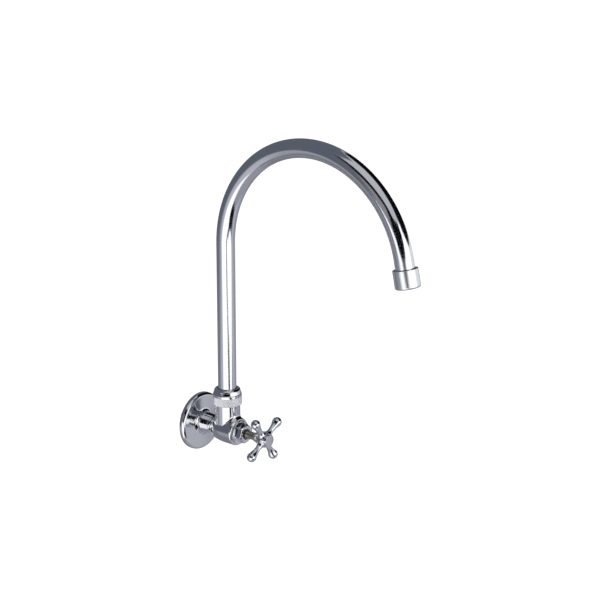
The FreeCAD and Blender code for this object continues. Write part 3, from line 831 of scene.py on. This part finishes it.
def headwork_mesh(name, head):
    """Turned headwork with a hexagon whose corners are turned down, as a grid round its axis."""
    place = valve_axis()
    sides = 6
    corner = math.pi / sides
    by_corner = [-6, -4.5, -3.4, -2.6, -1.9, -1.2, -0.6, 0, 0.6, 1.2, 1.9, 2.6, 3.4, 4.5, 6]
    on_flat = [12, 20, 30, 40, 48]
    turns = [2 * corner * k + math.radians(step) for k in range(sides) for step in by_corner + on_flat]
    half = head.flats / 2
    hexagon = head.seat + head.flange
    cone = half - 0.45 * MM
    rake = math.tan(math.radians(30))
    stem_bore, stem_stop = 4.1 * MM, 55.5 * MM

    def reach(turn, height):
        folded = (turn + corner) % (2 * corner) - corner
        flat = half / math.cos(corner - abs(folded))
        rounded_off = soft_least(flat, half / math.cos(corner) - 0.12 * MM, 0.3 * MM)
        return soft_least(rounded_off, cone + (head.face - height) / rake, 0.25 * MM)

    hidden = [(6.1, 55.5), (6.1, 44.5), (8.9, 44.5), (8.9, 46.9), (10.45, 47.3), (10.45, 56.9)]
    rim = head.flange_radius
    edge = 0.3 * MM
    rows = [(r * MM, h * MM) for r, h in hidden]
    rows += [(rim - 0.15 * MM, head.seat), (rim, head.seat + 0.15 * MM), (rim, hexagon - edge)]
    for turn in (0.5, 1.05, math.pi / 2):
        rows.append((rim - edge * (1 - math.cos(turn)), hexagon - edge * (1 - math.sin(turn))))
    up_the_hexagon = [0, 0.2, 1.5, 3.5, 4.6, 5.0, 5.3, 5.6, 5.9, 6.2, 6.45, 6.7, 6.9, 7.1, 7.25, 7.4, 7.5]
    rows += [(None, hexagon + h * MM) for h in up_the_hexagon]
    flat_top = [cone - 0.2 * MM, cone - 0.6 * MM, head.mouth + 0.9 * MM, head.mouth + 0.45 * MM]
    rows += [(r, head.face) for r in flat_top]
    down_the_mouth = [(0.38, 0.02), (0.02, 0.38), (0, 0.45)]
    rows += [(head.mouth + out * MM, head.face - down * MM) for out, down in down_the_mouth]
    rows += [(head.mouth, head.floor), (stem_bore, head.floor), (stem_bore, stem_stop)]
    grid = bmesh.new()
    columns = []
    for turn in turns:
        where = turn + head.turn
        column = []
        for radius, height in rows:
            out = reach(turn, height) if radius is None else radius
            spot = Vector((out * math.cos(where), out * math.sin(where), height))
            column.append(grid.verts.new(place @ spot))
        columns.append(column)
    for k, column in enumerate(columns):
        after = columns[(k + 1) % len(columns)]
        for j in range(len(rows)):
            up = (j + 1) % len(rows)
            grid.faces.new((column[j], after[j], after[up], column[up]))
    return closed_mesh(name, grid, SHARP_ON_HEXAGON)


def walled(name, skin, thickness):
    """Gives an open skin its wall, inwards, and returns the closed mesh."""
    holder = linked(name + "_skin", skin)
    modifier = holder.modifiers.new("wall", "SOLIDIFY")
    modifier.thickness = thickness
    modifier.offset = -1
    modifier.use_quality_normals = True
    made = evaluated(holder)
    made.shade_smooth()
    made.set_sharp_from_angle(angle=SHARP)
    return made


# ---------------------------------------------------------------- operators

class TapOperator(bpy.types.Operator):
    """Base of the tap's operators."""
    bl_options = {"REGISTER", "UNDO"}


class WALLTAP_OT_finishes(TapOperator):
    """Make the plated, bare and moulded materials"""
    bl_idname = "walltap.finishes"
    bl_label = "Finishes"

    def execute(self, context):
        make_finishes(context.scene.tap_finish)
        return {"FINISHED"}


class WALLTAP_OT_spout(TapOperator):
    """Bend the spout's tube"""
    bl_idname = "walltap.spout"
    bl_label = "Spout tube"

    def execute(self, context):
        spout = context.scene.tap_spout
        skin = tube_tree().bake("spout_tube_skin", {
            "Radius": spout.radius, "Foot": spout.foot, "Riser": spout.riser, "Arch": spout.arch,
            "Sweep": spout.sweep, "Run": spout.run, "Offset": spout.offset, "Steps": spout.steps,
            "Sides": spout.sides, "Material": finish_of("spout_tube")})
        settle("bent_spout_tube", walled("bent_spout_tube", skin, spout.wall), "spout", "spout_tube")
        return {"FINISHED"}


class WALLTAP_OT_flange(TapOperator):
    """Press the wall flange"""
    bl_idname = "walltap.flange"
    bl_label = "Wall flange"

    def execute(self, context):
        mesh = lathe("pressed_flange", flange_outline(context.scene.tap_flange), valve_axis(), sides=192)
        settle("pressed_flange", mesh, "tap", "wall_flange")
        return {"FINISHED"}


class WALLTAP_OT_body(TapOperator):
    """Cast the valve body and cut its inlet's thread"""
    bl_idname = "walltap.body"
    bl_label = "Valve body"

    def execute(self, context):
        body = context.scene.tap_body
        mesh = node_copy("valve_body")
        root = body.crest - body.depth
        near, front_end, both_ends = 0.1 * MM, 1.2 * MM, 2.6 * MM
        for vertex in mesh.vertices:
            out = math.hypot(vertex.co.x, vertex.co.z)
            if -vertex.co.y < body.front + near and out > root - near:
                vertex.co.x *= root / out
                vertex.co.z *= root / out
        restore_normals(mesh)
        made = thread_tree().bake("cast_valve_body", {
            "Root": root - near, "Pitch": body.pitch, "Length": body.back + body.front - both_ends,
            "Depth": body.depth, "Front": body.front - front_end, "Material": finish_of("valve_body")}, mesh)
        settle("cast_valve_body", made, "tap", "valve_body")
        return {"FINISHED"}


class WALLTAP_OT_headwork(TapOperator):
    """Turn the headwork with its hexagon"""
    bl_idname = "walltap.headwork"
    bl_label = "Headwork"

    def execute(self, context):
        mesh = headwork_mesh("headwork_hexagon", context.scene.tap_headwork)
        settle("headwork_hexagon", mesh, "tap", "bonnet")
        return {"FINISHED"}


class WALLTAP_OT_nut(TapOperator):
    """Turn and knurl the spout's nut"""
    bl_idname = "walltap.nut"
    bl_label = "Spout nut"

    def execute(self, context):
        nut, spout = context.scene.tap_nut, context.scene.tap_spout
        core = lathe("nut_core", nut_outline(nut), riser_axis(spout), sides=160)
        made = knurl_tree().bake("knurled_spout_nut", {
            "Teeth": nut.knurls, "Radius": nut.radius, "Low": nut.foot + 0.5 * MM,
            "High": nut.knurl_top + 0.05 * MM, "Offset": spout.offset,
            "Material": finish_of("spout_nut")}, core)
        settle("knurled_spout_nut", made, "tap", "spout_nut")
        return {"FINISHED"}


class WALLTAP_OT_button(TapOperator):
    """Turn the index button in the handle"""
    bl_idname = "walltap.button"
    bl_label = "Index button"

    def execute(self, context):
        outline = button_points(context.scene.tap_handle)
        mesh = disc_lathe("domed_button", outline, valve_axis(), sides=96)
        settle("domed_button", mesh, "spindle", "index_button")
        return {"FINISHED"}


class WALLTAP_OT_outlet(TapOperator):
    """Turn the aerator's housing and weave its mesh"""
    bl_idname = "walltap.outlet"
    bl_label = "Aerator"

    def execute(self, context):
        outlet, spout = context.scene.tap_outlet, context.scene.tap_spout
        mesh = lathe("aerator_collar", housing_outline(outlet), outlet_axis(spout), sides=144)
        settle("aerator_collar", mesh, "spout", "aerator_housing")
        mouth = outlet.thread - 0.95 * MM
        wires = mesh_tree().bake("outlet_mesh", {
            "Mouth": mouth, "Pitch": outlet.wire_pitch, "Wire": outlet.wire,
            "Wires": 2 * int(mouth / outlet.wire_pitch) + 1, "Material": finish_of("aerator_grid")})
        lift = outlet.lip - outlet.wire * 1.4
        wires.transform(outlet_axis(spout) @ Matrix.Translation((0, 0, lift)))
        settle("outlet_mesh", wires, "spout", "aerator_grid")
        return {"FINISHED"}


class WALLTAP_OT_frame_pieces(TapOperator):
    """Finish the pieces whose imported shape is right"""
    bl_idname = "walltap.frame_pieces"
    bl_label = "Handle and inner pieces"

    def execute(self, context):
        for node, piece in frame["nodes"].items():
            if piece.hide_render:
                continue
            piece.data.materials.clear()
            piece.data.materials.append(finish_of(node))
        return {"FINISHED"}


# ---------------------------------------------------------------- studio

AIM = Vector((0.0186, -0.1219, 0.1509))
STAND = Vector((-1.4332, -1.3296, 0.7322))
ARCH_EYE = Vector((0.0, -0.13, 0.27))
POST_PLACE = Vector((0.124, -0.1615, -0.031))
POST_ACROSS = Vector((0.023, 0, -0.002))
POST_UP = Vector((0.0195, 0, 0.0265))

# Cards that the plating reflects: name, distance, shade, softness of the edge in degrees, and
# stations of (azimuth, lowest, highest) in degrees, seen from the arch. Azimuth 0 is straight
# out from the wall and 90 to its right. The last five stand close by, so the valve sees them
# higher than the arch does.
CARDS = (
    ("white_front", 12.0, (1.30, 1.30, 1.30), 6, ((-128, -62, 45), (128, -62, 45))),
    ("ceiling", 11.9, (0.53, 0.54, 0.57), 4, (
        (-180, 62, 90), (-125, 60, 90), (-112, 50, 90), (-90, 44, 90), (-60, 38, 90), (-48, 30, 90),
        (-20, 27, 90), (0, 31, 90), (15, 32, 90), (30, 38, 90), (60, 58, 90), (115, 66, 90), (180, 62, 90))),
    ("low_room", 11.9, (0.34, 0.345, 0.385), 6, (
        (-180, -90, -52), (-110, -90, -57), (-92, -90, -60), (-60, -90, -54), (-45, -90, -46), (30, -90, -47),
        (180, -90, -50))),
    ("right_horizon", 11.8, (0.84, 0.84, 0.86), 5, (
        (38, -14, 12), (75, -14, 9), (100, -16, 4), (122, -18, -2))),
    ("left_low", 11.7, (0.50, 0.505, 0.57), 8, ((-126, -58, -10), (-97, -58, -12))),
    ("back_side", 11.75, (0.34, 0.345, 0.40), 10, ((-142, -60, -10), (-115, -60, -10))),
    ("back_low", 11.8, (0.215, 0.22, 0.25), 5, ((117, -75, -8), (180, -75, -8), (244, -75, -8))),
    ("back_high", 11.7, (0.115, 0.13, 0.16), 6, ((114, -16, 88), (180, -16, 88), (247, -16, 88))),
    ("black_right", 11.6, (0.003, 0.003, 0.005), 1, (
        (13, 25, 35), (30, 14, 47), (45, 7, 57), (60, 5, 65), (75, 2, 68), (90, -2, 70), (103, -6, 68),
        (113, -9, 62), (114, -9, 20), (120, -13, 8))),
    ("grey_panel", 11.6, (0.27, 0.265, 0.29), 1, ((-114, -1, 37), (-90, 0, 37), (-56, 0.5, 37))),
    ("panel_edge", 11.5, (0.13, 0.135, 0.165), 1.5, ((-117, -4, 40), (-104, -1, 40))),
    ("dark_band", 11.5, (0.006, 0.006, 0.009), 1, (
        (-116, 28, 54), (-100, 28, 53), (-90, 29, 51), (-75, 29, 48), (-62, 29, 46), (-50, 24, 42),
        (-41, 24, 37))),
    ("black_left", 11.4, (0.003, 0.003, 0.005), 1, (
        (-86, -4, 4), (-71, -5, 18), (-62, -5, 33), (-50, -4, 32), (-45, -2, 32), (-38, 0, 31), (-30, 3, 31),
        (-24, 7, 31), (-11, 22, 33))),
    ("right_table", 1.5, (0.47, 0.475, 0.53), 6, (
        (0, -46, -34), (14, -56, -30), (24, -57, -22), (30, -58, -14), (60, -60, -11), (90, -60, -13),
        (122, -60, -14))),
    ("table_end", 1.48, (0.35, 0.355, 0.41), 10, ((58, -60, -15), (98, -60, -15))),
    ("table_back", 1.46, (0.26, 0.265, 0.31), 8, ((88, -60, -16), (122, -60, -16))),
    ("black_low", 1.36, (0.003, 0.003, 0.005), 1, (
        (-51, -53, -47), (-44, -55, -44), (-36, -56, -39.5), (-30, -56, -36), (-24, -56, -33.5),
        (-12, -55, -32.5), (5, -54, -32.5), (12, -52, -34), (19, -47, -35), (21, -42, -27), (28, -33, -27))),
    ("stand", 1.33, (0.003, 0.003, 0.005), 0.6, (
        (-47, -22, -17), (-43, -23.8, -17), (-39, -25.5, -18), (-37, -27.5, -19.5), (-35, -30, -22.2),
        (-33, -32, -24.2), (-31, -33.5, -25), (-27, -34, -25.6), (-22, -34, -26.2), (-17, -34, -26.8),
        (-15, -34, -30))),
)


def between(stations, turn):
    """Lowest and highest edge of a card at an azimuth."""
    last = max(k for k in range(len(stations) - 1) if k == 0 or stations[k][0] <= turn)
    here, there = stations[last], stations[last + 1]
    part = min(max((turn - here[0]) / (there[0] - here[0]), 0.0), 1.0)
    return [here[k] + (there[k] - here[k]) * part for k in (1, 2)]


def card_mesh(name, stations, distance, soft):
    """Grid on a sphere round the tap, with how far each point is inside the card's soft edge."""
    whole = stations[-1][0] - stations[0][0] >= 360
    margin = 0 if whole else soft / 2
    first_turn, last_turn = stations[0][0] - margin, stations[-1][0] + margin
    column_width, rows, pole, no_edge = 1.5, 30, 90, 90
    columns = max(8, int((last_turn - first_turn) / column_width))
    vertices, cover = [], []
    for i in range(columns + 1):
        turn = first_turn + (last_turn - first_turn) * i / columns
        low, high = between(stations, turn)
        side = no_edge if whole else min(turn - first_turn, last_turn - turn)
        low_end, high_end = max(low - soft / 2, -pole), min(high + soft / 2, pole)
        for j in range(rows + 1):
            lift = low_end + (high_end - low_end) * j / rows
            a, e = math.radians(turn), math.radians(lift)
            out = Vector((math.sin(a) * math.cos(e), -math.cos(a) * math.cos(e), math.sin(e)))
            vertices.append(ARCH_EYE + out * distance)
            below = lift - low_end if low_end > -pole else no_edge
            above = high_end - lift if high_end < pole else no_edge
            cover.append(min(1.0, min(side, below, above) / soft))
    corners = [i * (rows + 1) + j for i in range(columns) for j in range(rows)]
    faces = [(first, first + rows + 1, first + rows + 2, first + 1) for first in corners]
    return covered_mesh(name, vertices, faces, cover)


def covered_mesh(name, vertices, faces, cover):
    mesh = bpy.data.meshes.new(name)
    mesh.from_pydata(vertices, [], faces)
    mesh.attributes.new("cover", "FLOAT", "POINT").data.foreach_set("value", cover)
    return mesh


def post_mesh(name):
    """Small leaning card close by on the right, which the flange's face reflects."""
    corners = [POST_PLACE + POST_ACROSS * x + POST_UP * z
               for x, z in ((-0.5, -0.5), (0.5, -0.5), (0.5, 0.5), (-0.5, 0.5))]
    return covered_mesh(name, corners, [(0, 1, 2, 3)], [1.0] * len(corners))


def card_material(name, shade_value):
    shade = Shade(name)
    cover = shade.node("ShaderNodeAttribute", {"attribute_name": "cover"}, None, "Fac")
    glow = shade.node("ShaderNodeEmission", None, {"Color": shade_value, "Strength": 1.0})
    clear = shade.node("ShaderNodeBsdfTransparent")
    shade.surface(shade.node("ShaderNodeMixShader", None, {0: cover, 1: clear, 2: glow}))
    shade.material.cycles.emission_sampling = "NONE"
    return shade.material


def only_reflected(piece):
    for kind in ("camera", "diffuse", "volume_scatter", "shadow"):
        setattr(piece, "visible_" + kind, False)


def pale_rays(tree):
    """1 for the camera's rays and those that metal and glass send on."""
    camera, glossy, through = [add_node(tree, "ShaderNodeLightPath", output=f"Is {kind} Ray")
                               for kind in ("Camera", "Glossy", "Transmission")]
    return (camera + glossy + through).clamp()


class WALLTAP_OT_studio(TapOperator):
    """Set up the camera, floor, lamps and cards"""
    bl_idname = "walltap.studio"
    bl_label = "Studio"

    def execute(self, context):
        scene, studio = context.scene, context.scene.tap_studio
        scene.view_settings.view_transform = "Standard"
        self.camera(scene, studio)
        self.world(scene, studio)
        self.lamp("key_lamp", Vector((-1.2, -1.6, 1.6)), width=1.2, power=9.0)
        self.lamp("fill_lamp", Vector((1.6, -1.2, 0.9)), width=1.2, power=5.0)
        self.floor(studio, half=14.0, glow=0.62)
        for name, distance, shade_value, soft, stations in CARDS:
            self.card("card_" + name, card_mesh("card_" + name, stations, distance, soft), shade_value)
        self.card("card_post", post_mesh("card_post"), (0.02, 0.02, 0.03))
        return {"FINISHED"}

    def aimed(self, name, data, place):
        """New object at a place, turned towards the tap."""
        made = linked(name, data)
        made.location = place
        made.rotation_euler = (AIM - place).to_track_quat("-Z", "Y").to_euler()
        return made

    def camera(self, scene, studio):
        lens = bpy.data.cameras.new("camera")
        lens.lens = studio.focal
        scene.camera = self.aimed("camera", lens, STAND)

    def world(self, scene, studio):
        world = bpy.data.worlds.new("studio")
        world.use_nodes = True
        tree = world.node_tree
        tree.nodes.clear()
        light = add_node(tree, "ShaderNodeBackground", None, {"Color": (1, 1, 1), "Strength": studio.fill})
        white = add_node(tree, "ShaderNodeBackground", None, {"Color": (1, 1, 1), "Strength": 1.0})
        mixed = add_node(tree, "ShaderNodeMixShader", None, {0: pale_rays(tree), 1: light, 2: white})
        out = add_node(tree, "ShaderNodeOutputWorld")
        tree.links.new(mixed.socket, out.node.inputs["Surface"])
        world.cycles.sampling_method = "NONE"
        scene.world = world

    def lamp(self, name, place, width, power):
        light = bpy.data.lights.new(name, "AREA")
        light.size = width
        light.energy = power
        self.aimed(name, light, place).visible_glossy = False

    def floor(self, studio, half, glow):
        mesh = bpy.data.meshes.new("floor")
        corners = [(-half, -half), (half, -half), (half, half), (-half, half)]
        mesh.from_pydata([(x, y, studio.floor) for x, y in corners], [], [(0, 1, 2, 3)])
        shade = Shade("floor")
        cloud = shade.noise(1.5, detail=2.0)
        tint = shade.mix(cloud, (0.9, 0.9, 0.9), (0.86, 0.86, 0.86))
        plain = shade.node("ShaderNodeBsdfDiffuse", None, {"Color": tint})
        light = shade.node("ShaderNodeEmission", None, {"Strength": pale_rays(shade.tree) * glow})
        shade.surface(shade.node("ShaderNodeAddShader", None, {0: plain, 1: light}))
        piece = new_piece("floor", mesh, shade.material)
        piece.visible_glossy = False

    def card(self, name, mesh, shade_value):
        piece = new_piece(name, mesh, card_material(name, shade_value))
        only_reflected(piece)


# ---------------------------------------------------------------- add-on

SETTINGS = {
    "tap_finish": TapFinish, "tap_spout": TapSpout, "tap_flange": TapFlange, "tap_body": TapBody,
    "tap_nut": TapNut, "tap_headwork": TapHeadwork, "tap_handle": TapHandle, "tap_outlet": TapOutlet,
    "tap_studio": TapStudio,
}

STEPS = (
    WALLTAP_OT_studio, WALLTAP_OT_finishes, WALLTAP_OT_flange, WALLTAP_OT_body, WALLTAP_OT_headwork,
    WALLTAP_OT_button, WALLTAP_OT_nut, WALLTAP_OT_spout, WALLTAP_OT_outlet, WALLTAP_OT_frame_pieces,
)


class WALLTAP_PT_panel(bpy.types.Panel):
    """Lists the tap's pieces and their sizes"""
    bl_idname = "WALLTAP_PT_panel"
    bl_label = "Wall tap"
    bl_space_type = "VIEW_3D"
    bl_region_type = "UI"
    bl_category = "Wall tap"

    def draw(self, context):
        for step in STEPS:
            self.layout.operator(step.bl_idname)
        for name in SETTINGS:
            box = self.layout.box()
            settings = getattr(context.scene, name)
            for key in settings.__annotations__:
                box.prop(settings, key)


def register():
    for name, group in SETTINGS.items():
        bpy.utils.register_class(group)
        setattr(bpy.types.Scene, name, PointerProperty(type=group))
    for step in STEPS:
        bpy.utils.register_class(step)
    bpy.utils.register_class(WALLTAP_PT_panel)


def unregister():
    bpy.utils.unregister_class(WALLTAP_PT_panel)
    for step in reversed(STEPS):
        bpy.utils.unregister_class(step)
    for name, group in reversed(SETTINGS.items()):
        delattr(bpy.types.Scene, name)
        bpy.utils.unregister_class(group)


def main():
    register()
    for step in STEPS:
        group, name = step.bl_idname.split(".")
        getattr(getattr(bpy.ops, group), name)()


if __name__ == "__main__":
    main()
